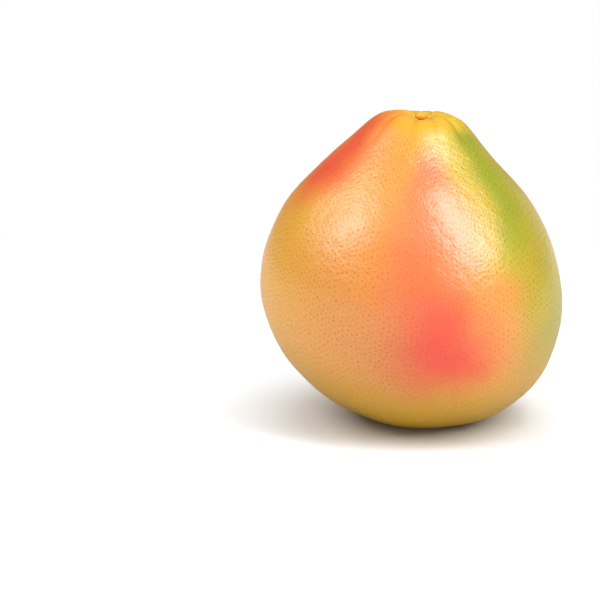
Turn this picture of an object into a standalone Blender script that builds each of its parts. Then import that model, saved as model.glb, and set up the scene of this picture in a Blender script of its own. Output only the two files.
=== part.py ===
"""A whole pomelo standing on its blossom end: the fruit in its rind, and the stem button in its crown.

Units are metres, with +Z up. The fruit stands on Z = 0, and its bounding box is centred on the Z axis.
"""

import math

import bmesh
import bpy
import numpy as np

COLLECTION_NAME = "pomelo"

# Half section of the rind, (radius, height), from the crest around the dimple down to the rim of the flat spot.
RIND_SECTION = (
    (0.0110, 0.1629),
    (0.0168, 0.1624),
    (0.0220, 0.1600),
    (0.0293, 0.1532),
    (0.0420, 0.1400),
    (0.0590, 0.1221),
    (0.0732, 0.0976),
    (0.0791, 0.0684),
    (0.0737, 0.0423),
    (0.0605, 0.0212),
    (0.0445, 0.0081),
    (0.0310, 0.0019),
    (0.0180, 0.0000),
)
# The fruit grew slightly bent: (x, height) of the middle of its rings.
BENT_AXIS = (
    (0.0075, 0.0000),
    (0.0037, 0.0325),
    (-0.0005, 0.0732),
    (-0.0020, 0.1180),
    (-0.0004, 0.1450),
    (0.0025, 0.1630),
)

DIMPLE_RADIUS = 0.0052
DIMPLE_DEPTH = 0.0036
DIMPLE_SHIFT = 0.0020  # the dimple lies this far to +X of the middle of the crown
CROWN_RADIUS = 0.0200  # rings wider than this don't shift with the dimple
CROWN_TILT = 0.03  # rise of the crown towards -X, as a slope
CROWN_TILT_FROM = 0.145  # height where the tilt starts

# Creases that run from the dimple over the shoulder: (azimuth in degrees, depth).
CREASES = (
    (12, 0.0004),
    (58, 0.0006),
    (104, 0.0005),
    (148, 0.0007),
    (186, 0.0005),
    (226, 0.0005),
    (262, 0.0004),
    (317, 0.0007),
    (335, 0.0009),
)
CREASE_HALF_WIDTH = math.radians(5)
CREASE_RISE = (0.0050, 0.0100)  # ring radii between which a crease deepens
CREASE_FADE = (0.0180, 0.0400)  # ring radii between which it fades out
CREASE_FROM = (0.1000, 0.1300)  # heights below and above which there are none and all of them

# Broad unevenness of the rind: (waves round the fruit, phase in degrees, height of a wave).
RIND_WAVES = (
    (2, 70, 0.0004),
    (3, 20, 0.0003),
    (5, 130, 0.0002),
)

SEGMENTS = 72
DIMPLE_FLOOR_RINGS = 2
DIMPLE_WALL_RINGS = 5
FLANK_RINGS = 34
FLAT_RINGS = 2

BUTTON_RADIUS = 0.0036
BUTTON_LOBE = 0.0005  # how far the five calyx lobes stand out of and into that radius
BUTTON_LOBES = 5
BUTTON_GAP = 0.0003
BUTTON_SEGMENTS = 40
# Half section of the button, (share of its radius, height above its seat), from the middle of the cut stalk.
BUTTON_SECTION = (
    (0.00, 0.0029),
    (0.22, 0.0028),
    (0.42, 0.0031),
    (0.50, 0.0027),
    (0.66, 0.0024),
    (0.88, 0.0021),
    (1.00, 0.0014),
    (0.90, 0.0005),
    (0.66, 0.0000),
    (0.30, 0.0000),
    (0.00, 0.0000),
)

RIND_COLOUR = (0.90, 0.45, 0.10, 1.0)
RIND_ROUGHNESS = 0.38
BUTTON_COLOUR = (0.72, 0.45, 0.08, 1.0)
BUTTON_ROUGHNESS = 0.60


def clear_scene():
    for obj in list(bpy.data.objects):
        bpy.data.objects.remove(obj, do_unlink=True)


def smooth_step(low, high, value):
    """0 below low, 1 above high, with a smooth cubic rise between them."""
    share = min(max((value - low) / (high - low), 0.0), 1.0)
    return share * share * (3.0 - 2.0 * share)


def spline_through(points, start_slope, end_slope, count):
    """count + 1 points, evenly spaced by parameter, on a cubic spline through the given points.

    The parameter is the length along the points' own chords. The slopes are the directions at the two ends.
    """
    knots = np.array(points)
    spans = np.linalg.norm(np.diff(knots, axis=0), axis=1)
    places = np.concatenate([[0.0], np.cumsum(spans)])
    last = len(knots) - 1
    system = np.eye(last + 1)
    wanted = np.zeros_like(knots)
    wanted[0] = start_slope
    wanted[last] = end_slope
    for i in range(1, last):
        before, after = spans[i - 1], spans[i]
        system[i, i - 1 : i + 2] = (after, 2.0 * (before + after), before)
        rise_before = (knots[i] - knots[i - 1]) / before
        rise_after = (knots[i + 1] - knots[i]) / after
        wanted[i] = 3.0 * (after * rise_before + before * rise_after)
    slopes = np.linalg.solve(system, wanted)

    at = np.linspace(0.0, places[last], count + 1)
    index = np.clip(np.searchsorted(places, at, side="right") - 1, 0, last - 1)
    span = spans[index][:, None]
    t = (at[:, None] - places[index][:, None]) / span
    start, end = knots[index], knots[index + 1]
    return (
        (1.0 + 2.0 * t) * (1.0 - t) ** 2 * start
        + t * (1.0 - t) ** 2 * span * slopes[index]
        + t**2 * (3.0 - 2.0 * t) * end
        - t**2 * (1.0 - t) * span * slopes[index + 1]
    )


def fruit_section():
    """(radius, height) of every ring of the fruit, from the middle of the dimple to the middle of the flat spot."""
    crest_radius, crest_height = RIND_SECTION[0]
    flat_radius = RIND_SECTION[-1][0]
    floor_height = crest_height - DIMPLE_DEPTH
    rings = []
    for k in range(DIMPLE_FLOOR_RINGS):
        rings.append((DIMPLE_RADIUS * k / DIMPLE_FLOOR_RINGS, floor_height))
    for k in range(DIMPLE_WALL_RINGS):
        share = k / DIMPLE_WALL_RINGS
        radius = DIMPLE_RADIUS + (crest_radius - DIMPLE_RADIUS) * share
        rings.append((radius, floor_height + DIMPLE_DEPTH * math.sin(0.5 * math.pi * share)))
    flank = spline_through(RIND_SECTION, (1.0, 0.0), (-1.0, 0.0), FLANK_RINGS)
    rings.extend((float(radius), float(height)) for radius, height in flank)
    for k in range(1, FLAT_RINGS + 1):
        rings.append((flat_radius * (1.0 - k / FLAT_RINGS), 0.0))
    return rings


def bent_axis_x(height):
    """How far in x the middle of the ring at this height lies from the Z axis."""
    axis = spline_through(BENT_AXIS, (0.0, 1.0), (0.1, 1.0), 60)
    return float(np.interp(height, axis[:, 1], axis[:, 0]))


def crease_depth(radius, height, azimuth):
    """How deep the crown's creases are on this ring at this azimuth."""
    strength = smooth_step(*CREASE_RISE, radius) * (1.0 - smooth_step(*CREASE_FADE, radius))
    strength *= smooth_step(*CREASE_FROM, height)
    depth = 0.0
    for degrees, deepest in CREASES:
        off = math.remainder(azimuth - math.radians(degrees), 2.0 * math.pi)
        depth += deepest * math.exp(-((off / CREASE_HALF_WIDTH) ** 2))
    return depth * strength


def wave_height(radius, azimuth):
    """Broad waves round the fruit, which die out towards the crown and the flat spot."""
    strength = smooth_step(0.020, 0.060, radius)
    height = 0.0
    for waves, phase, size in RIND_WAVES:
        height += size * math.cos(waves * azimuth + math.radians(phase))
    return height * strength


def rind_point(radius, height, azimuth):
    """The point of the rind on the ring of this radius and height."""
    crest_radius = RIND_SECTION[0][0]
    centre = bent_axis_x(height)
    centre += DIMPLE_SHIFT * (1.0 - smooth_step(DIMPLE_RADIUS, CROWN_RADIUS, radius))
    depth = crease_depth(radius, height, azimuth)
    outward = radius + wave_height(radius, azimuth)
    on_flank = smooth_step(crest_radius, 2.0 * CROWN_RADIUS, radius)
    outward -= depth * on_flank
    x = centre + outward * math.cos(azimuth)
    y = outward * math.sin(azimuth)
    z = height - depth * (1.0 - on_flank)
    z -= CROWN_TILT * (x - centre) * smooth_step(CROWN_TILT_FROM, RIND_SECTION[0][1], height)
    return x, y, z


def material(name, colour, roughness):
    made = bpy.data.materials.new(name)
    made.use_nodes = True
    shader = made.node_tree.nodes["Principled BSDF"]
    shader.inputs["Base Color"].default_value = colour
    shader.inputs["Roughness"].default_value = roughness
    shader.inputs["Metallic"].default_value = 0.0
    return made


def turned_form(name, segments, section, place, finish, collection):
    """An object made from a sphere whose rings, pole to pole, take the places that place(ring, azimuth) gives."""
    mesh = bpy.data.meshes.new(name)
    form = bmesh.new()
    ring_count = len(section) - 1
    bmesh.ops.create_uvsphere(form, u_segments=segments, v_segments=ring_count, radius=1.0)
    for vert in form.verts:
        polar = math.acos(min(max(vert.co.z, -1.0), 1.0))
        ring = section[round(polar / math.pi * ring_count)]
        vert.co = place(ring, math.atan2(vert.co.y, vert.co.x))
    bmesh.ops.recalc_face_normals(form, faces=form.faces)
    form.to_mesh(mesh)
    form.free()
    mesh.shade_smooth()
    mesh.materials.append(finish)
    made = bpy.data.objects.new(name, mesh)
    collection.objects.link(made)
    return made


def make_fruit(collection):
    def place(ring, azimuth):
        radius, height = ring
        return rind_point(radius, height, azimuth)

    finish = material("rind", RIND_COLOUR, RIND_ROUGHNESS)
    return turned_form("fruit", SEGMENTS, fruit_section(), place, finish, collection)


def make_stem_button(collection):
    seat_x, seat_y, seat_z = rind_point(0.0, RIND_SECTION[0][1] - DIMPLE_DEPTH, 0.0)

    def place(ring, azimuth):
        share, height = ring
        lobe = BUTTON_LOBE * math.cos(BUTTON_LOBES * azimuth) * share**2
        radius = BUTTON_RADIUS * share + lobe
        x = radius * math.cos(azimuth)
        y = radius * math.sin(azimuth)
        z = seat_z + BUTTON_GAP + height - CROWN_TILT * x
        return seat_x + x, seat_y + y, z

    finish = material("stem", BUTTON_COLOUR, BUTTON_ROUGHNESS)
    return turned_form("stem_button", BUTTON_SEGMENTS, BUTTON_SECTION, place, finish, collection)


def main():
    clear_scene()
    collection = bpy.data.collections.new(COLLECTION_NAME)
    bpy.context.scene.collection.children.link(collection)
    make_fruit(collection)
    make_stem_button(collection)


main()
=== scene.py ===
import math

import bpy
import numpy as np
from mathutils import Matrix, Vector


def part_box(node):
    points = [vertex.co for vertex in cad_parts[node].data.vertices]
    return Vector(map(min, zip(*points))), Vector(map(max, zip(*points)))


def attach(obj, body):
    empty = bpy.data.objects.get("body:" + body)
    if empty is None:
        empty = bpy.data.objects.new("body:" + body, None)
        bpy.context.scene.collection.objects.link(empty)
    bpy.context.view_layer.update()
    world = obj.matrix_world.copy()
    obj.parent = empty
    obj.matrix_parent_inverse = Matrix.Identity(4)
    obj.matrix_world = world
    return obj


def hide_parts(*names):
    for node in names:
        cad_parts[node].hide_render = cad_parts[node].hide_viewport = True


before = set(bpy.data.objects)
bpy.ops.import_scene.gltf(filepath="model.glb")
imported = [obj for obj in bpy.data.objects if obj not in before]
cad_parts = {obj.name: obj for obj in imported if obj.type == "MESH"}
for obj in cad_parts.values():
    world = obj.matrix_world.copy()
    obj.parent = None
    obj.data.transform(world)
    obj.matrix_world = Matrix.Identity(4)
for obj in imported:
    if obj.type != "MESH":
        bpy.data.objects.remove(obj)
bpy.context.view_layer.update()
fruitLow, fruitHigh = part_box("fruit")
buttonLow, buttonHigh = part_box("stem_button")
print("frame loaded", [round(v, 4) for v in fruitHigh - fruitLow])


def smoothStep(low, high, value):
    # 0 below low, 1 above high, a smooth cubic in between
    share = np.clip((value - low) / (high - low), 0.0, 1.0)
    return share * share * (3.0 - 2.0 * share)


def splineThrough(points, startSlope, endSlope, count):
    # a cubic spline through the points, run by the length of their chords, with both end slopes given
    knots = np.array(points, float)
    spans = np.linalg.norm(np.diff(knots, axis=0), axis=1)
    places = np.concatenate([[0.0], np.cumsum(spans)])
    last = len(knots) - 1
    system = np.eye(last + 1)
    wanted = np.zeros_like(knots)
    wanted[0] = startSlope
    wanted[last] = endSlope
    for i in range(1, last):
        before, after = spans[i - 1], spans[i]
        system[i, i - 1:i + 2] = (after, 2.0 * (before + after), before)
        riseBefore = (knots[i] - knots[i - 1]) / before
        riseAfter = (knots[i + 1] - knots[i]) / after
        wanted[i] = 3.0 * (after * riseBefore + before * riseAfter)
    slopes = np.linalg.solve(system, wanted)
    at = np.linspace(0.0, places[last], count)
    index = np.clip(np.searchsorted(places, at, side="right") - 1, 0, last - 1)
    span = spans[index][:, None]
    t = (at - places[index])[:, None] / span
    return ((1 + 2 * t) * (1 - t) ** 2 * knots[index] + t * (1 - t) ** 2 * span * slopes[index]
            + t ** 2 * (3 - 2 * t) * knots[index + 1] - t ** 2 * (1 - t) * span * slopes[index + 1])


def softNoise(points, wavelength, seed, waves=36):
    # even noise from about -1 to 1: plane waves of one length from all sides, summed
    random = np.random.default_rng(seed)
    ways = random.normal(size=(waves, 3))
    ways /= np.linalg.norm(ways, axis=1, keepdims=True)
    lengths = wavelength * random.uniform(0.75, 1.35, waves)
    phases = random.uniform(0.0, 2 * math.pi, waves)
    total = np.zeros(len(points))
    for way, length, phase in zip(ways, lengths, phases):
        total += np.cos(points @ way * (2 * math.pi / length) + phase)
    return total / math.sqrt(waves / 2)


def vertexNormals(points, faces):
    # every vertex takes the sum of its faces' area vectors
    a, b, c = (points[faces[:, k]] for k in range(3))
    areas = np.cross(b - a, c - a)
    normals = np.zeros_like(points)
    for k in range(3):
        for axis in range(3):
            normals[:, axis] += np.bincount(faces[:, k], areas[:, axis], len(points))
    return normals / np.linalg.norm(normals, axis=1, keepdims=True)


def meshPiece(name, points, faces, finish):
    mesh = bpy.data.meshes.new(name)
    mesh.from_pydata(points.tolist(), [], faces.tolist())
    mesh.shade_smooth()
    mesh.materials.append(finish)
    piece = bpy.data.objects.new(name, mesh)
    bpy.context.scene.collection.objects.link(piece)
    return piece


def addNode(tree, kind, inputs=None, **settings):
    node = tree.nodes.new(kind)
    for key, value in settings.items():
        setattr(node, key, value)
    for key, value in (inputs or {}).items():
        if isinstance(value, bpy.types.NodeSocket):
            tree.links.new(value, node.inputs[key])
        else:
            node.inputs[key].default_value = value
    return node


def mathNode(tree, operation, first, second=0.0, third=None):
    inputs = {0: first, 1: second}
    if third is not None:
        inputs[2] = third
    return addNode(tree, "ShaderNodeMath", inputs, operation=operation).outputs[0]


def mixColour(tree, factor, under, over, blend="MIX"):
    node = tree.nodes.new("ShaderNodeMix")
    node.data_type = "RGBA"
    node.blend_type = blend
    for key, value in ((0, factor), (6, under), (7, over)):
        if isinstance(value, bpy.types.NodeSocket):
            tree.links.new(value, node.inputs[key])
        else:
            node.inputs[key].default_value = value
    return node.outputs[2]


def newGroup(name, inputs, outputs):
    group = bpy.data.node_groups.new(name, "ShaderNodeTree")
    for label, kind, value in inputs:
        socket = group.interface.new_socket(name=label, in_out="INPUT", socket_type=kind)
        if value is not None:
            socket.default_value = value
    for label, kind in outputs:
        group.interface.new_socket(name=label, in_out="OUTPUT", socket_type=kind)
    return group, group.nodes.new("NodeGroupInput").outputs, group.nodes.new("NodeGroupOutput").inputs


def placeGroup(tree, group, **inputs):
    node = tree.nodes.new("ShaderNodeGroup")
    node.node_tree = group
    for key, value in inputs.items():
        if isinstance(value, bpy.types.NodeSocket):
            tree.links.new(value, node.inputs[key])
        else:
            node.inputs[key].default_value = value
    return node


def colourOf(red, green, blue):
    # screen values from 0 to 255, made linear
    parts = [v / 255 for v in (red, green, blue)]
    return tuple(v / 12.92 if v <= 0.04045 else ((v + 0.055) / 1.055) ** 2.4 for v in parts) + (1.0,)


def softStreakGroup():
    # a soft-edged streak from Start to End, with a radius of its own at each end: 1 inside, 0 well outside
    group, given, out = newGroup(
        "softStreak",
        [("Vector", "NodeSocketVector", None), ("Start", "NodeSocketVector", None),
         ("End", "NodeSocketVector", None), ("Start Radius", "NodeSocketFloat", 0.01),
         ("End Radius", "NodeSocketFloat", 0.01),
         ("Softness", "NodeSocketFloat", 0.5), ("Strength", "NodeSocketFloat", 1.0)],
        [("Mask", "NodeSocketFloat")])

    def vectorNode(operation, output, **inputs):
        return addNode(group, "ShaderNodeVectorMath", {int(k[1]): v for k, v in inputs.items()},
                       operation=operation).outputs[output]

    length = vectorNode("SUBTRACT", "Vector", i0=given["End"], i1=given["Start"])
    away = vectorNode("SUBTRACT", "Vector", i0=given["Vector"], i1=given["Start"])
    along = mathNode(group, "DIVIDE", vectorNode("DOT_PRODUCT", "Value", i0=away, i1=length),
                     vectorNode("DOT_PRODUCT", "Value", i0=length, i1=length))
    share = addNode(group, "ShaderNodeClamp", {"Value": along}).outputs[0]
    nearest = addNode(group, "ShaderNodeVectorMath", {0: length, "Scale": share},
                      operation="SCALE").outputs[0]
    distance = vectorNode("DISTANCE", "Value", i0=away, i1=nearest)
    radius = addNode(group, "ShaderNodeMapRange", {"Value": share, "To Min": given["Start Radius"],
                     "To Max": given["End Radius"]}).outputs[0]
    inner = mathNode(group, "SUBTRACT", 1.0, given["Softness"])
    outer = mathNode(group, "ADD", 1.0, given["Softness"])
    fade = addNode(group, "ShaderNodeMapRange", {"Value": mathNode(group, "DIVIDE", distance, radius),
                   "From Min": inner, "From Max": outer, "To Min": 1.0, "To Max": 0.0},
                   interpolation_type="SMOOTHSTEP").outputs[0]
    group.links.new(mathNode(group, "MULTIPLY", fade, given["Strength"]), out["Mask"])
    return group


def mottleGroup():
    # cloudy unevenness and fine specks, as growth leaves them in a skin
    group, given, out = newGroup(
        "mottle",
        [("Vector", "NodeSocketVector", None), ("Cloud Size", "NodeSocketFloat", 0.02),
         ("Speck Size", "NodeSocketFloat", 0.002)],
        [("Cloud", "NodeSocketFloat"), ("Speck", "NodeSocketFloat"), ("Drift", "NodeSocketVector")])
    cloud = addNode(group, "ShaderNodeTexNoise", {"Vector": given["Vector"], "Detail": 4.0,
                    "Scale": mathNode(group, "DIVIDE", 1.0, given["Cloud Size"])})
    speck = addNode(group, "ShaderNodeTexNoise", {"Vector": given["Vector"], "Detail": 2.0,
                    "Scale": mathNode(group, "DIVIDE", 1.0, given["Speck Size"])})
    centred = addNode(group, "ShaderNodeVectorMath", {0: cloud.outputs["Color"], 1: (0.5, 0.5, 0.5)},
                      operation="SUBTRACT")
    group.links.new(cloud.outputs["Fac"], out["Cloud"])
    group.links.new(speck.outputs["Fac"], out["Speck"])
    group.links.new(centred.outputs[0], out["Drift"])
    return group


softStreak = softStreakGroup()
mottle = mottleGroup()


rind = {
    "baseColour": (248, 160, 60),
    "crownColour": (244, 186, 36),
    "bottomColour": (224, 175, 0),
    "creaseShadeColour": (0.72, 0.58, 0.34, 1.0),  # painted shade: multiplies the colour inside creases and round the stem button
    "dotColour": (0.66, 0.36, 0.10, 1.0),  # multiplies the colour at the oil glands
    "crownFrom": 0.87, "crownTo": 1.00,  # shares of the fruit's height
    "quietFrom": 0.92,  # from here up the wrinkles fade
    "bottomFrom": 0.34, "bottomTo": 0.04,
    # colour, start, end and radius of the small scar in the middle of the flat spot
    "blossomScar": ((140, 96, 40), (0.542, 0.495, 0.0), (0.552, 0.505, 0.0), 0.0042),
    "scarSoftness": 0.35, "scarStrength": 0.8,
    "roughness": 0.36,
    "refraction": 1.55,
    "gloss": 1.0,
    "cloudSize": 0.030, "speckSize": 0.0011,  # metres
    "drift": 0.020,  # how far the clouds push the streaks' edges about, in metres
    "speckleDark": 0.93, "speckleLight": 1.06,
    "dotFrom": 0.04, "dotTo": 0.75,  # the gland strengths at which the dots begin and are full
    "dotShow": 0.56, "dotLostOnCoral": 0.34,
    "quietLeast": 0.35,  # share of the wrinkles left at the crown's top
    "wrinkleSize": 0.0026, "wrinkleFlatness": 1.5, "wrinkleHeight": 0.00022,  # metres, but for the flatness
    "dotDip": 0.25,  # how deep a gland's dot lies, beside a wrinkle's whole height
    # places are shares of the fruit's own box, from its low corner, and radii are shares of its height
    "streaks": [
        # name, colour, start, end, start radius, end radius, softness, strength
        ("goldLeft", (244, 176, 40), (0.12, 0.34, 0.74), (0.02, 0.40, 0.30), 0.16, 0.26, 0.90, 1.0),
        ("oliveSide", (182, 166, 0), (0.74, 0.42, 0.925), (0.97, 0.27, 0.35), 0.090, 0.175, 0.85, 1.0),
        ("yellowFlank", (214, 194, 16), (0.62, 0.33, 0.93), (0.76, 0.17, 0.64), 0.045, 0.085, 0.85, 0.8),
        ("greenBand", (160, 167, 0), (0.665, 0.375, 0.930), (0.80, 0.215, 0.67), 0.044, 0.070, 0.95, 1.0),
        ("greenTail", (190, 176, 0), (0.81, 0.20, 0.64), (0.88, 0.17, 0.45), 0.070, 0.070, 0.90, 0.6),
        ("crownRidge", (238, 204, 28), (0.61, 0.45, 0.990), (0.645, 0.42, 0.965), 0.034, 0.028, 0.90, 0.80),
        ("coralShoulder", (252, 84, 34), (0.35, 0.45, 0.93), (0.225, 0.41, 0.81), 0.092, 0.105, 0.90, 1.0),
        ("coralStrip", (248, 128, 76), (0.54, 0.26, 0.870), (0.491, 0.01, 0.53), 0.040, 0.128, 1.00, 0.92),
        ("orangeMiddle", (246, 122, 40), (0.50, 0.00, 0.50), (0.50, 0.03, 0.26), 0.110, 0.130, 0.90, 0.8),
        ("coralBelly", (255, 66, 18), (0.560, 0.00, 0.370), (0.612, 0.03, 0.305), 0.112, 0.118, 1.00, 1.0),
        ("coralBack", (250, 92, 44), (0.50, 0.80, 0.84), (0.66, 0.99, 0.40), 0.080, 0.160, 0.95, 0.95),
        ("greenBack", (182, 172, 4), (0.34, 0.74, 0.92), (0.10, 0.84, 0.48), 0.070, 0.150, 0.95, 0.85),
        ("oliveLow", (204, 166, 10), (0.08, 0.60, 0.30), (0.45, 0.98, 0.22), 0.140, 0.140, 0.95, 0.7),
    ],
}


def boxPlace(shares):
    return tuple(fruitLow[k] + (fruitHigh[k] - fruitLow[k]) * shares[k] for k in range(3))


def rindMaterial():
    made = bpy.data.materials.new("rindFinish")
    made.use_nodes = True
    tree = made.node_tree
    shader = tree.nodes["Principled BSDF"]
    place = addNode(tree, "ShaderNodeTexCoord").outputs["Object"]
    gland = addNode(tree, "ShaderNodeAttribute", attribute_name="gland").outputs["Fac"]
    # painted shade: how much the colour darkens in the crown's creases and round the stem button
    creaseShade = addNode(tree, "ShaderNodeAttribute", attribute_name="creaseShade").outputs["Fac"]
    clouds = placeGroup(tree, mottle, Vector=place,
                        **{"Cloud Size": rind["cloudSize"], "Speck Size": rind["speckSize"]})
    drifted = addNode(tree, "ShaderNodeVectorMath", {0: clouds.outputs["Drift"], 1: (rind["drift"],) * 3,
                      2: place}, operation="MULTIPLY_ADD").outputs[0]
    height = addNode(tree, "ShaderNodeSeparateXYZ", {0: drifted}).outputs["Z"]
    top = fruitHigh.z
    crown = addNode(tree, "ShaderNodeMapRange", {"Value": height, "From Min": rind["crownFrom"] * top,
                    "From Max": rind["crownTo"] * top}, interpolation_type="SMOOTHSTEP").outputs[0]
    quiet = addNode(tree, "ShaderNodeMapRange", {"Value": height, "From Min": rind["quietFrom"] * top,
                    "From Max": rind["crownTo"] * top, "To Min": 1.0,
                    "To Max": rind["quietLeast"]}).outputs[0]
    bottom = addNode(tree, "ShaderNodeMapRange", {"Value": height, "From Min": rind["bottomFrom"] * top,
                     "From Max": rind["bottomTo"] * top}, interpolation_type="SMOOTHSTEP").outputs[0]
    colour = mixColour(tree, crown, colourOf(*rind["baseColour"]), colourOf(*rind["crownColour"]))
    rosy = 0.0  # where the rind is coral its glands hardly show
    for name, shade, start, end, startRadius, endRadius, softness, strength in rind["streaks"]:
        streak = placeGroup(tree, softStreak, Vector=drifted, Start=boxPlace(start), End=boxPlace(end),
                            Softness=softness, Strength=strength,
                            **{"Start Radius": startRadius * top, "End Radius": endRadius * top})
        streak.label = name
        colour = mixColour(tree, streak.outputs["Mask"], colour, colourOf(*shade))
        if name.startswith("coral"):
            rosy = mathNode(tree, "MAXIMUM", rosy, streak.outputs["Mask"])
    colour = mixColour(tree, bottom, colour, colourOf(*rind["bottomColour"]))
    scarColour, scarStart, scarEnd, scarRadius = rind["blossomScar"]
    scar = placeGroup(tree, softStreak, Vector=place, Start=boxPlace(scarStart), End=boxPlace(scarEnd),
                      Softness=rind["scarSoftness"], Strength=rind["scarStrength"],
                      **{"Start Radius": scarRadius, "End Radius": scarRadius})
    scar.label = "blossomScar"
    colour = mixColour(tree, scar.outputs["Mask"], colour, colourOf(*scarColour))
    speckle = addNode(tree, "ShaderNodeMapRange", {"Value": clouds.outputs["Speck"], "From Min": 0.3,
                      "From Max": 0.7, "To Min": rind["speckleDark"],
                      "To Max": rind["speckleLight"]}).outputs[0]
    colour = mixColour(tree, 1.0, colour, addNode(tree, "ShaderNodeCombineColor",
                       {0: speckle, 1: speckle, 2: speckle}).outputs[0], "MULTIPLY")
    dot = addNode(tree, "ShaderNodeMapRange", {"Value": gland, "From Min": rind["dotFrom"],
                  "From Max": rind["dotTo"]}, interpolation_type="SMOOTHSTEP").outputs[0]
    shown = mathNode(tree, "MULTIPLY_ADD", rosy, -rind["dotLostOnCoral"], rind["dotShow"])
    dotShow = mathNode(tree, "MULTIPLY", dot, shown)
    colour = mixColour(tree, dotShow, colour, rind["dotColour"], "MULTIPLY")
    # painted shade: the colour darkens in the creases and in a ring round the stem button
    colour = mixColour(tree, creaseShade, colour, rind["creaseShadeColour"], "MULTIPLY")
    tree.links.new(colour, shader.inputs["Base Color"])
    shader.inputs["Roughness"].default_value = rind["roughness"]
    shader.inputs["IOR"].default_value = rind["refraction"]
    shader.inputs["Specular IOR Level"].default_value = rind["gloss"]
    # fine wrinkles between the glands, longer across the fruit than up and down it
    flatter = addNode(tree, "ShaderNodeVectorMath", {0: place, 1: (1.0, 1.0, rind["wrinkleFlatness"])},
                      operation="MULTIPLY").outputs[0]
    wrinkle = addNode(tree, "ShaderNodeTexNoise", {"Vector": flatter, "Scale": 1 / rind["wrinkleSize"],
                      "Detail": 2.0}).outputs["Fac"]
    relief = mathNode(tree, "SUBTRACT", wrinkle, mathNode(tree, "MULTIPLY", dot, rind["dotDip"]))
    calm = mathNode(tree, "MULTIPLY", relief, quiet)
    bump = addNode(tree, "ShaderNodeBump", {"Height": calm, "Distance": rind["wrinkleHeight"],
                   "Strength": 1.0})
    tree.links.new(bump.outputs[0], shader.inputs["Normal"])
    return made


fruit = {
    # half section of the rind, (radius, height), from the crest round the dimple to the flat spot's rim
    "section": [(0.0110, 0.1629), (0.0168, 0.1624), (0.0220, 0.1600), (0.0293, 0.1532), (0.0420, 0.1400),
                (0.0590, 0.1221), (0.0732, 0.0976), (0.0791, 0.0684), (0.0737, 0.0423), (0.0605, 0.0212),
                (0.0445, 0.0081), (0.0310, 0.0019), (0.0180, 0.0000)],
    # (x, height) of the middle of its rings: it grew slightly bent
    "bentAxis": [(0.0075, 0.0), (0.0037, 0.0325), (-0.0005, 0.0732), (-0.0020, 0.1180),
                 (-0.0004, 0.1450), (0.0025, 0.1630)],
    "dimple": {"radius": 0.0052, "depth": 0.0036, "shift": 0.0020, "crownRadius": 0.0200},
    "crownTilt": {"slope": 0.03, "from": 0.145},
    # azimuth in degrees, depth, half width in degrees
    "creases": [(12, 0.0005, 4.5), (35, 0.0003, 3), (58, 0.0007, 5), (82, 0.0003, 3), (104, 0.0006, 4.5),
                (148, 0.0008, 5), (168, 0.0004, 3), (186, 0.0006, 4), (205, 0.0004, 3), (226, 0.0006, 5),
                (262, 0.0005, 5), (290, 0.0004, 3.5), (317, 0.0009, 3.5), (335, 0.0011, 3.5),
                (352, 0.0005, 3)],
    # azimuth and half width in degrees, and how far the crown sinks there
    "saddles": [(-93, 32, 0.0027), (88, 34, 0.0013), (8, 24, 0.0012)],
    "saddleRise": (0.0040, 0.0084),  # radii over which the sink sets in
    "saddleFade": (0.0100, 0.0300),  # radii over which it ends
    "creaseShadeFull": 0.0014,  # a crease this deep takes the whole painted crease shade
    "buttonShadeRing": (0.0046, 0.0008),  # radius and half width of the ring of painted shade round the stem button
    "creaseRise": (0.0048, 0.0090),
    "creaseFade": (0.0180, 0.0400),
    "creaseFrom": (0.1000, 0.1300),
    "waves": [(2, 70, 0.0004), (3, 20, 0.0003), (5, 130, 0.0002)],
    "cellsAcross": 98,  # a multiple of 7, so that the glands meet across the seams
    "crownFiner": 2.6,  # how much denser the mesh is round the dimple
    "crownFinerOver": 0.026,
    "lumpSize": 0.00020, "lumpWave": 0.034,
    "rippleSize": 0.00003, "rippleWave": 0.0068,
    "pitDepth": 0.00009,
    "glandJitter": 0.0009, "glandJitterWave": 0.0085, "glandJitterSpread": 1.7,
    "glandLeast": 0.50,  # the weakest gland beside the strongest
    "meanRadius": 0.079,
    # heights between which the relief, the glands and their strength come in or go out
    "flatKept": (0.0002, 0.0060), "crownKept": (0.148, 0.163), "glandsWeakLow": (0.004, 0.040),
    "glandsLow": 0.35, "ripplesHigh": 0.3,  # shares left there
}


def icosahedronRhombs():
    # the ten rhombs of an icosahedron, five round each pole: top, left, right and bottom corner
    ring = np.arange(5) * 2 * math.pi / 5
    flat = 1 / math.sqrt(5)
    out = 2 * flat
    upper = np.stack([out * np.cos(ring), out * np.sin(ring), np.full(5, flat)], axis=1)
    turned = ring + math.pi / 5
    lower = np.stack([out * np.cos(turned), out * np.sin(turned), np.full(5, -flat)], axis=1)
    north, south = np.array([0, 0, 1.0]), np.array([0, 0, -1.0])
    rhombs = []
    for k in range(5):
        after = (k + 1) % 5
        rhombs.append((north, upper[k], upper[after], lower[k]))
        rhombs.append((upper[after], lower[k], lower[after], south))
    return rhombs


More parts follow.
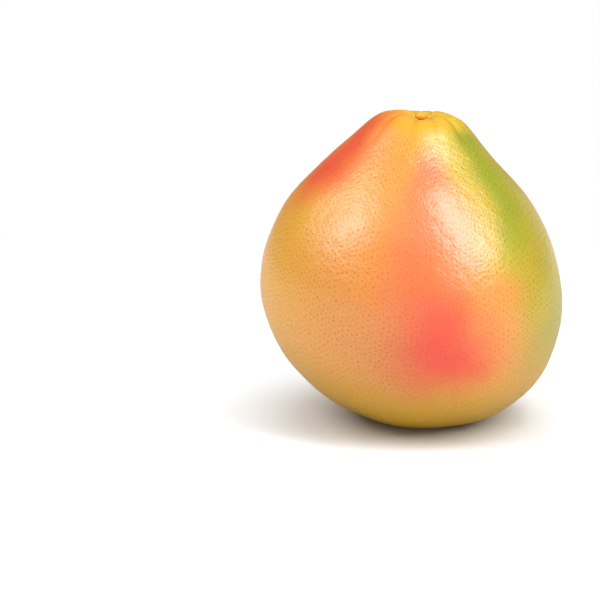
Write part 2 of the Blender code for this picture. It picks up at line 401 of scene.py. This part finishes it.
def evenSphere(cells):
    # Each rhomb is a grid of two parameters i and j. A point takes its rhomb's corners by the sines of its
    # shares of the edge's angle, brought out to radius 1, which keeps the cells nearly one size.
    edge = math.atan(2)
    i, j = (v.ravel() for v in np.meshgrid(np.arange(cells + 1), np.arange(cells + 1), indexing="ij"))
    i, j = i / cells, j / cells
    near = i + j <= 1 + 1e-9
    top = np.where(near, 1 - i - j, 0)
    bottom = np.where(near, 0, i + j - 1)
    left = np.where(near, i, 1 - j)
    right = np.where(near, j, 1 - i)
    weights = [np.sin(edge * w)[:, None] for w in (top, left, right, bottom)]
    index = np.arange((cells + 1) ** 2).reshape(cells + 1, cells + 1)
    a, b = index[:-1, :-1].ravel(), index[1:, :-1].ravel()
    c, d = index[:-1, 1:].ravel(), index[1:, 1:].ravel()
    cellFaces = np.concatenate([np.stack([a, b, c], axis=1), np.stack([b, d, c], axis=1)])
    row, column = np.divmod(np.arange((cells + 1) ** 2), cells + 1)
    onGland = (row + 5 * column) % 7 == 0  # one point in seven: the even lattice that is 2.6 cells apart
    points, faces, glands = [], [], []
    for corners in icosahedronRhombs():
        place = sum(w * corner for w, corner in zip(weights, corners))
        faces.append(cellFaces + sum(len(p) for p in points))
        points.append(place / np.linalg.norm(place, axis=1, keepdims=True))
        glands.append(onGland)
    points, faces, glands = np.concatenate(points), np.concatenate(faces), np.concatenate(glands)
    # points shared by neighbouring rhombs become one
    first, merged = np.unique(np.round(points, 6), axis=0, return_index=True, return_inverse=True)[1:]
    return points[first], merged.reshape(-1)[faces], glands[first]


def fruitSection():
    # (radius, height) along the whole half section: dimple floor, dimple wall, flank and flat spot
    dimple = fruit["dimple"]
    crestRadius, crestHeight = fruit["section"][0]
    floor = np.stack([np.linspace(0, dimple["radius"], 60),
                      np.full(60, crestHeight - dimple["depth"])], axis=1)
    share = np.linspace(0, 1, 80)[1:]
    wall = np.stack([dimple["radius"] + (crestRadius - dimple["radius"]) * share,
                     crestHeight - dimple["depth"] * (1 - np.sin(0.5 * math.pi * share))], axis=1)
    flank = splineThrough(fruit["section"], (1, 0), (-1, 0), 2000)[1:]
    flat = np.stack([np.linspace(fruit["section"][-1][0], 0, 90)[1:], np.zeros(89)], axis=1)
    return np.concatenate([floor, wall, flank, flat])


def onRind(sphere):
    # A point of the sphere goes to the ring that has the same share of the rind's area above it, so the
    # mesh stays even; the area counts for more round the dimple, where the mesh is then finer.
    section = fruitSection()
    radius, height = section[:, 0], section[:, 1]
    steps = np.hypot(np.diff(radius), np.diff(height))
    along = np.concatenate([[0], np.cumsum(steps)])
    denser = 1 + fruit["crownFiner"] * np.exp(-(along / fruit["crownFinerOver"]) ** 2)
    rings = radius * denser
    area = np.concatenate([[0], np.cumsum(steps * (rings[1:] + rings[:-1]) / 2)])
    at = np.interp((1 - np.clip(sphere[:, 2], -1, 1)) / 2, area / area[-1], along)
    azimuth = np.arctan2(sphere[:, 1], sphere[:, 0])
    return np.interp(at, along, radius), np.interp(at, along, height), azimuth


def creaseDepth(radius, height, azimuth):
    # each crease is a bell curve round the fruit, deepening out of the dimple and fading over the shoulder
    strength = smoothStep(*fruit["creaseRise"], radius) * (1 - smoothStep(*fruit["creaseFade"], radius))
    strength = strength * smoothStep(*fruit["creaseFrom"], height)
    depth = np.zeros_like(radius)
    for degrees, deepest, halfWidth in fruit["creases"]:
        off = np.angle(np.exp(1j * (azimuth - math.radians(degrees))))
        depth += deepest * np.exp(-(off / math.radians(halfWidth)) ** 2)
    return depth * strength


def fruitPoints(radius, height, azimuth):
    # rings of the section round the bent axis, with broad waves and the crown's creases, sinks and tilt
    dimple, tilt = fruit["dimple"], fruit["crownTilt"]
    crestRadius, crestHeight = fruit["section"][0]
    axis = splineThrough(fruit["bentAxis"], (0, 1), (0.1, 1), 400)
    centre = np.interp(height, axis[:, 1], axis[:, 0])
    centre = centre + dimple["shift"] * (1 - smoothStep(dimple["radius"], dimple["crownRadius"], radius))
    wave = sum(size * np.cos(count * azimuth + math.radians(phase))
               for count, phase, size in fruit["waves"])
    depth = creaseDepth(radius, height, azimuth)
    onFlank = smoothStep(crestRadius, 2 * dimple["crownRadius"], radius)
    outward = radius + wave * smoothStep(0.020, 0.060, radius) - depth * onFlank
    x = centre + outward * np.cos(azimuth)
    y = outward * np.sin(azimuth)
    z = height - depth * (1 - onFlank)
    nearCrest = smoothStep(*fruit["saddleRise"], radius) * (1 - smoothStep(*fruit["saddleFade"], radius))
    for degrees, halfWidth, sink in fruit["saddles"]:
        off = np.angle(np.exp(1j * (azimuth - math.radians(degrees))))
        z = z - sink * np.exp(-(off / math.radians(halfWidth)) ** 2) * nearCrest
    z = z - tilt["slope"] * (x - centre) * smoothStep(tilt["from"], crestHeight, height)
    return np.stack([x, y, z], axis=1)


def makeFruit(finish):
    sphere, faces, glands = evenSphere(fruit["cellsAcross"])
    # the sphere's points wander a little, then take their rings, the relief and the pits of the glands
    meanRadius = fruit["meanRadius"]
    wander = np.stack([softNoise(sphere * meanRadius, fruit["glandJitterWave"], seed)
                       for seed in (11, 12, 13)], axis=1)
    sphere = sphere + wander * (fruit["glandJitter"] / meanRadius / fruit["glandJitterSpread"])
    sphere /= np.linalg.norm(sphere, axis=1, keepdims=True)
    radius, height, azimuth = onRind(sphere)
    points = fruitPoints(radius, height, azimuth)
    normals = vertexNormals(points, faces)
    awayFromFlat = smoothStep(*fruit["flatKept"], points[:, 2])
    awayFromCrown = 1 - smoothStep(*fruit["crownKept"], points[:, 2])
    lumps = softNoise(points, fruit["lumpWave"], 21) * fruit["lumpSize"]
    rippleShare = fruit["ripplesHigh"] + (1 - fruit["ripplesHigh"]) * awayFromCrown
    ripples = softNoise(points, fruit["rippleWave"], 22) * fruit["rippleSize"] * rippleShare
    random = np.random.default_rng(31)
    strength = np.where(glands, random.uniform(fruit["glandLeast"], 1.0, len(points)), 0.0) * awayFromCrown
    raised = smoothStep(*fruit["glandsWeakLow"], points[:, 2])
    strength = strength * (fruit["glandsLow"] + (1 - fruit["glandsLow"]) * raised)
    relief = lumps + ripples - fruit["pitDepth"] * strength
    points = points + normals * (relief * awayFromFlat)[:, None]
    points[:, 2] = np.maximum(points[:, 2], 0.0)
    piece = meshPiece("pomeloFruit", points, faces, finish)
    # painted shade: darkness set by each crease's depth, plus a ring round the stem button
    ringRadius, ringWidth = fruit["buttonShadeRing"]
    creased = creaseDepth(radius, height, azimuth) / fruit["creaseShadeFull"]
    creaseShade = creased + np.exp(-((radius - ringRadius) / ringWidth) ** 2)
    for label, values in (("gland", strength), ("creaseShade", np.clip(creaseShade, 0, 1))):
        layer = piece.data.attributes.new(label, "FLOAT", "POINT")
        layer.data.foreach_set("value", values.astype(np.float32))
    return piece


fruitPiece = makeFruit(rindMaterial())
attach(fruitPiece, "root")
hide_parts("fruit")
print("fruit made", len(fruitPiece.data.polygons), "faces")


button = {
    "lobes": 5,
    "lobeDepth": 0.14,
    "ringsAcross": 44, "segments": 120,
    # (share of the radius, share of the height) from the cut stalk's middle to the seat
    "section": [(0.0, 0.86), (0.14, 0.82), (0.28, 0.90), (0.38, 1.0), (0.47, 0.92), (0.58, 0.76),
                (0.80, 0.70), (0.96, 0.55), (1.0, 0.40), (0.92, 0.16), (0.70, 0.02), (0.35, 0.0),
                (0.0, 0.0)],
    "colour": (250, 198, 66),
    "darkColour": (222, 162, 44),
    "roughness": 0.55,
    "cloudSize": 0.0016, "speckSize": 0.0003,  # metres
    "grainHeight": 0.0001, "grainStrength": 0.6,
}


def buttonMaterial():
    made = bpy.data.materials.new("stemFinish")
    made.use_nodes = True
    tree = made.node_tree
    shader = tree.nodes["Principled BSDF"]
    place = addNode(tree, "ShaderNodeTexCoord").outputs["Object"]
    clouds = placeGroup(tree, mottle, Vector=place,
                        **{"Cloud Size": button["cloudSize"], "Speck Size": button["speckSize"]})
    shade = addNode(tree, "ShaderNodeMapRange", {"Value": clouds.outputs["Cloud"], "From Min": 0.35,
                    "From Max": 0.65}, interpolation_type="SMOOTHSTEP").outputs[0]
    colour = mixColour(tree, shade, colourOf(*button["colour"]), colourOf(*button["darkColour"]))
    tree.links.new(colour, shader.inputs["Base Color"])
    shader.inputs["Roughness"].default_value = button["roughness"]
    bump = addNode(tree, "ShaderNodeBump", {"Height": clouds.outputs["Speck"],
                   "Strength": button["grainStrength"], "Distance": button["grainHeight"]})
    tree.links.new(bump.outputs[0], shader.inputs["Normal"])
    return made


def makeButton(finish):
    # rings of the section turned round the seat's middle, with five rounded calyx lobes
    middle = (buttonLow + buttonHigh) / 2
    reach = (buttonHigh.x - buttonLow.x) / 2
    tall = buttonHigh.z - buttonLow.z
    section = splineThrough(button["section"], (1, 0), (-1, 0), button["ringsAcross"])
    section[0, 0] = section[-1, 0] = 0.0
    turn = np.arange(button["segments"]) * 2 * math.pi / button["segments"]
    share, turn = np.meshgrid(section[1:-1, 0], turn, indexing="ij")
    level = np.repeat(section[1:-1, 1][:, None], button["segments"], axis=1)
    lobe = 1 - button["lobeDepth"] * (0.5 - 0.5 * np.cos(button["lobes"] * turn)) * share ** 2
    x = middle.x + reach * share * lobe * np.cos(turn)
    y = middle.y + reach * share * lobe * np.sin(turn)
    z = buttonLow.z + tall * level
    body = np.stack([x, y, z], axis=-1).reshape(-1, 3)
    ends = np.array([[middle.x, middle.y, buttonLow.z + tall * section[0, 1]],
                     [middle.x, middle.y, buttonLow.z]])
    points = np.concatenate([body, ends])
    rings, count = share.shape
    index = np.arange(rings * count).reshape(rings, count)
    after = np.roll(index, -1, axis=1)
    a, b, c, d = index[:-1].ravel(), index[1:].ravel(), after[1:].ravel(), after[:-1].ravel()
    sides = np.concatenate([np.stack([a, b, c], axis=1), np.stack([a, c, d], axis=1)])
    topPole, lowPole = rings * count, rings * count + 1
    topFan = np.stack([np.full(count, topPole), index[0], after[0]], axis=1)
    lowFan = np.stack([np.full(count, lowPole), after[-1], index[-1]], axis=1)
    return meshPiece("pomeloStemButton", points, np.concatenate([sides, topFan, lowFan]), finish)


buttonPiece = makeButton(buttonMaterial())
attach(buttonPiece, "root")
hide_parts("stem_button")
print("stem button made", len(buttonPiece.data.polygons), "faces")


studio = {
    "floorSize": 16.0,
    "floorSeen": (0.90, 0.93, 0.96, 1.0), "floorBounce": (0.56, 0.56, 0.56, 1.0),
    "sweepFrom": 0.16, "sweepTo": 0.60,  # metres from the middle, where the floor turns into the sweep
    "skyStrength": 0.22,
    # name, direction from the fruit, distance, width, height, power in watts
    "lamps": [
        ("lampRight", (0.57, -0.38, 0.71), 1.2, 0.50, 1.06, 12.4),
        ("lampLeft", (-0.66, -0.20, 0.72), 1.2, 0.74, 0.70, 7.4),
        ("lampRim", (0.62, 0.78, 0.10), 1.2, 0.45, 0.40, 0.35),
        ("lampFront", (0.10, -1.00, 0.05), 1.6, 1.40, 0.90, 3.2),
    ],
    "floorLamp": {"height": 1.4, "size": 1.2, "power": 14.0},  # lights the floor alone
}

camera = {
    "lens": 100.0,
    "elevation": 13.0,
    "distance": 0.883,
    # the camera looks past the fruit's left, at this share of its box from the low corner
    "lookAt": (0.132, 0.5, 0.387),
}


def makeFloor():
    half = studio["floorSize"] / 2
    mesh = bpy.data.meshes.new("floor")
    corners = [(-half, -half, 0), (half, -half, 0), (half, half, 0), (-half, half, 0)]
    mesh.from_pydata(corners, [], [(0, 1, 2, 3)])
    made = bpy.data.materials.new("floorFinish")
    made.use_nodes = True
    tree = made.node_tree
    shader = tree.nodes["Principled BSDF"]
    shader.inputs["Roughness"].default_value = 0.9
    shader.inputs["Specular IOR Level"].default_value = 0.0
    seen = addNode(tree, "ShaderNodeLightPath").outputs["Is Camera Ray"]
    tone = mixColour(tree, seen, studio["floorBounce"], studio["floorSeen"])
    tree.links.new(tone, shader.inputs["Base Color"])
    # further out the floor gives its own even light, as a lit studio sweep does
    place = addNode(tree, "ShaderNodeTexCoord").outputs["Object"]
    reach = addNode(tree, "ShaderNodeVectorMath", {0: place}, operation="LENGTH").outputs["Value"]
    sweep = addNode(tree, "ShaderNodeMapRange", {"Value": reach, "From Min": studio["sweepFrom"],
                    "From Max": studio["sweepTo"]}, interpolation_type="SMOOTHSTEP").outputs[0]
    glow = addNode(tree, "ShaderNodeEmission", {"Color": (1, 1, 1, 1), "Strength": 1.0})
    joined = addNode(tree, "ShaderNodeMixShader", {0: sweep, 1: shader.outputs[0], 2: glow.outputs[0]})
    tree.links.new(joined.outputs[0], tree.nodes["Material Output"].inputs["Surface"])
    mesh.materials.append(made)
    floor = bpy.data.objects.new("floor", mesh)
    bpy.context.scene.collection.objects.link(floor)
    return floor


def makeLamp(name, place, aim, width, height, power):
    data = bpy.data.lights.new(name, "AREA")
    data.shape = "RECTANGLE"
    data.size, data.size_y = width, height
    data.energy = power
    lamp = bpy.data.objects.new(name, data)
    lamp.location = place
    lamp.rotation_euler = (aim - place).to_track_quat("-Z", "Y").to_euler()
    lamp.visible_camera = False
    bpy.context.scene.collection.objects.link(lamp)
    return lamp


def makeLights(floor):
    middle = (fruitLow + fruitHigh) / 2
    for name, way, distance, width, height, power in studio["lamps"]:
        makeLamp(name, middle + Vector(way).normalized() * distance, middle, width, height, power)
    above = studio["floorLamp"]
    floorLamp = makeLamp("floorLamp", Vector((0, 0, above["height"])), Vector((0, 0, 0)), above["size"],
                         above["size"], above["power"])
    lit = bpy.data.collections.new("litByFloorLamp")
    lit.objects.link(floor)
    floorLamp.light_linking.receiver_collection = lit
    world = bpy.data.worlds.new("studio")
    world.use_nodes = True
    tree = world.node_tree
    background = tree.nodes["Background"]
    background.inputs["Color"].default_value = (1, 1, 1, 1)
    seen = addNode(tree, "ShaderNodeLightPath").outputs["Is Camera Ray"]
    strength = addNode(tree, "ShaderNodeMapRange", {"Value": seen, "To Min": studio["skyStrength"],
                       "To Max": 1.0})
    tree.links.new(strength.outputs[0], background.inputs["Strength"])
    bpy.context.scene.world = world


def makeCamera():
    data = bpy.data.cameras.new("camera")
    data.lens = camera["lens"]
    data.sensor_width = 36.0
    eye = bpy.data.objects.new("camera", data)
    aim = Vector(boxPlace(camera["lookAt"]))
    lift = math.radians(camera["elevation"])
    eye.location = aim + Vector((0, -math.cos(lift), math.sin(lift))) * camera["distance"]
    eye.rotation_euler = (math.pi / 2 - lift, 0, 0)
    bpy.context.scene.collection.objects.link(eye)
    bpy.context.scene.camera = eye


makeLights(makeFloor())
makeCamera()
bpy.context.scene.view_settings.view_transform = "Standard"
print("studio ready")
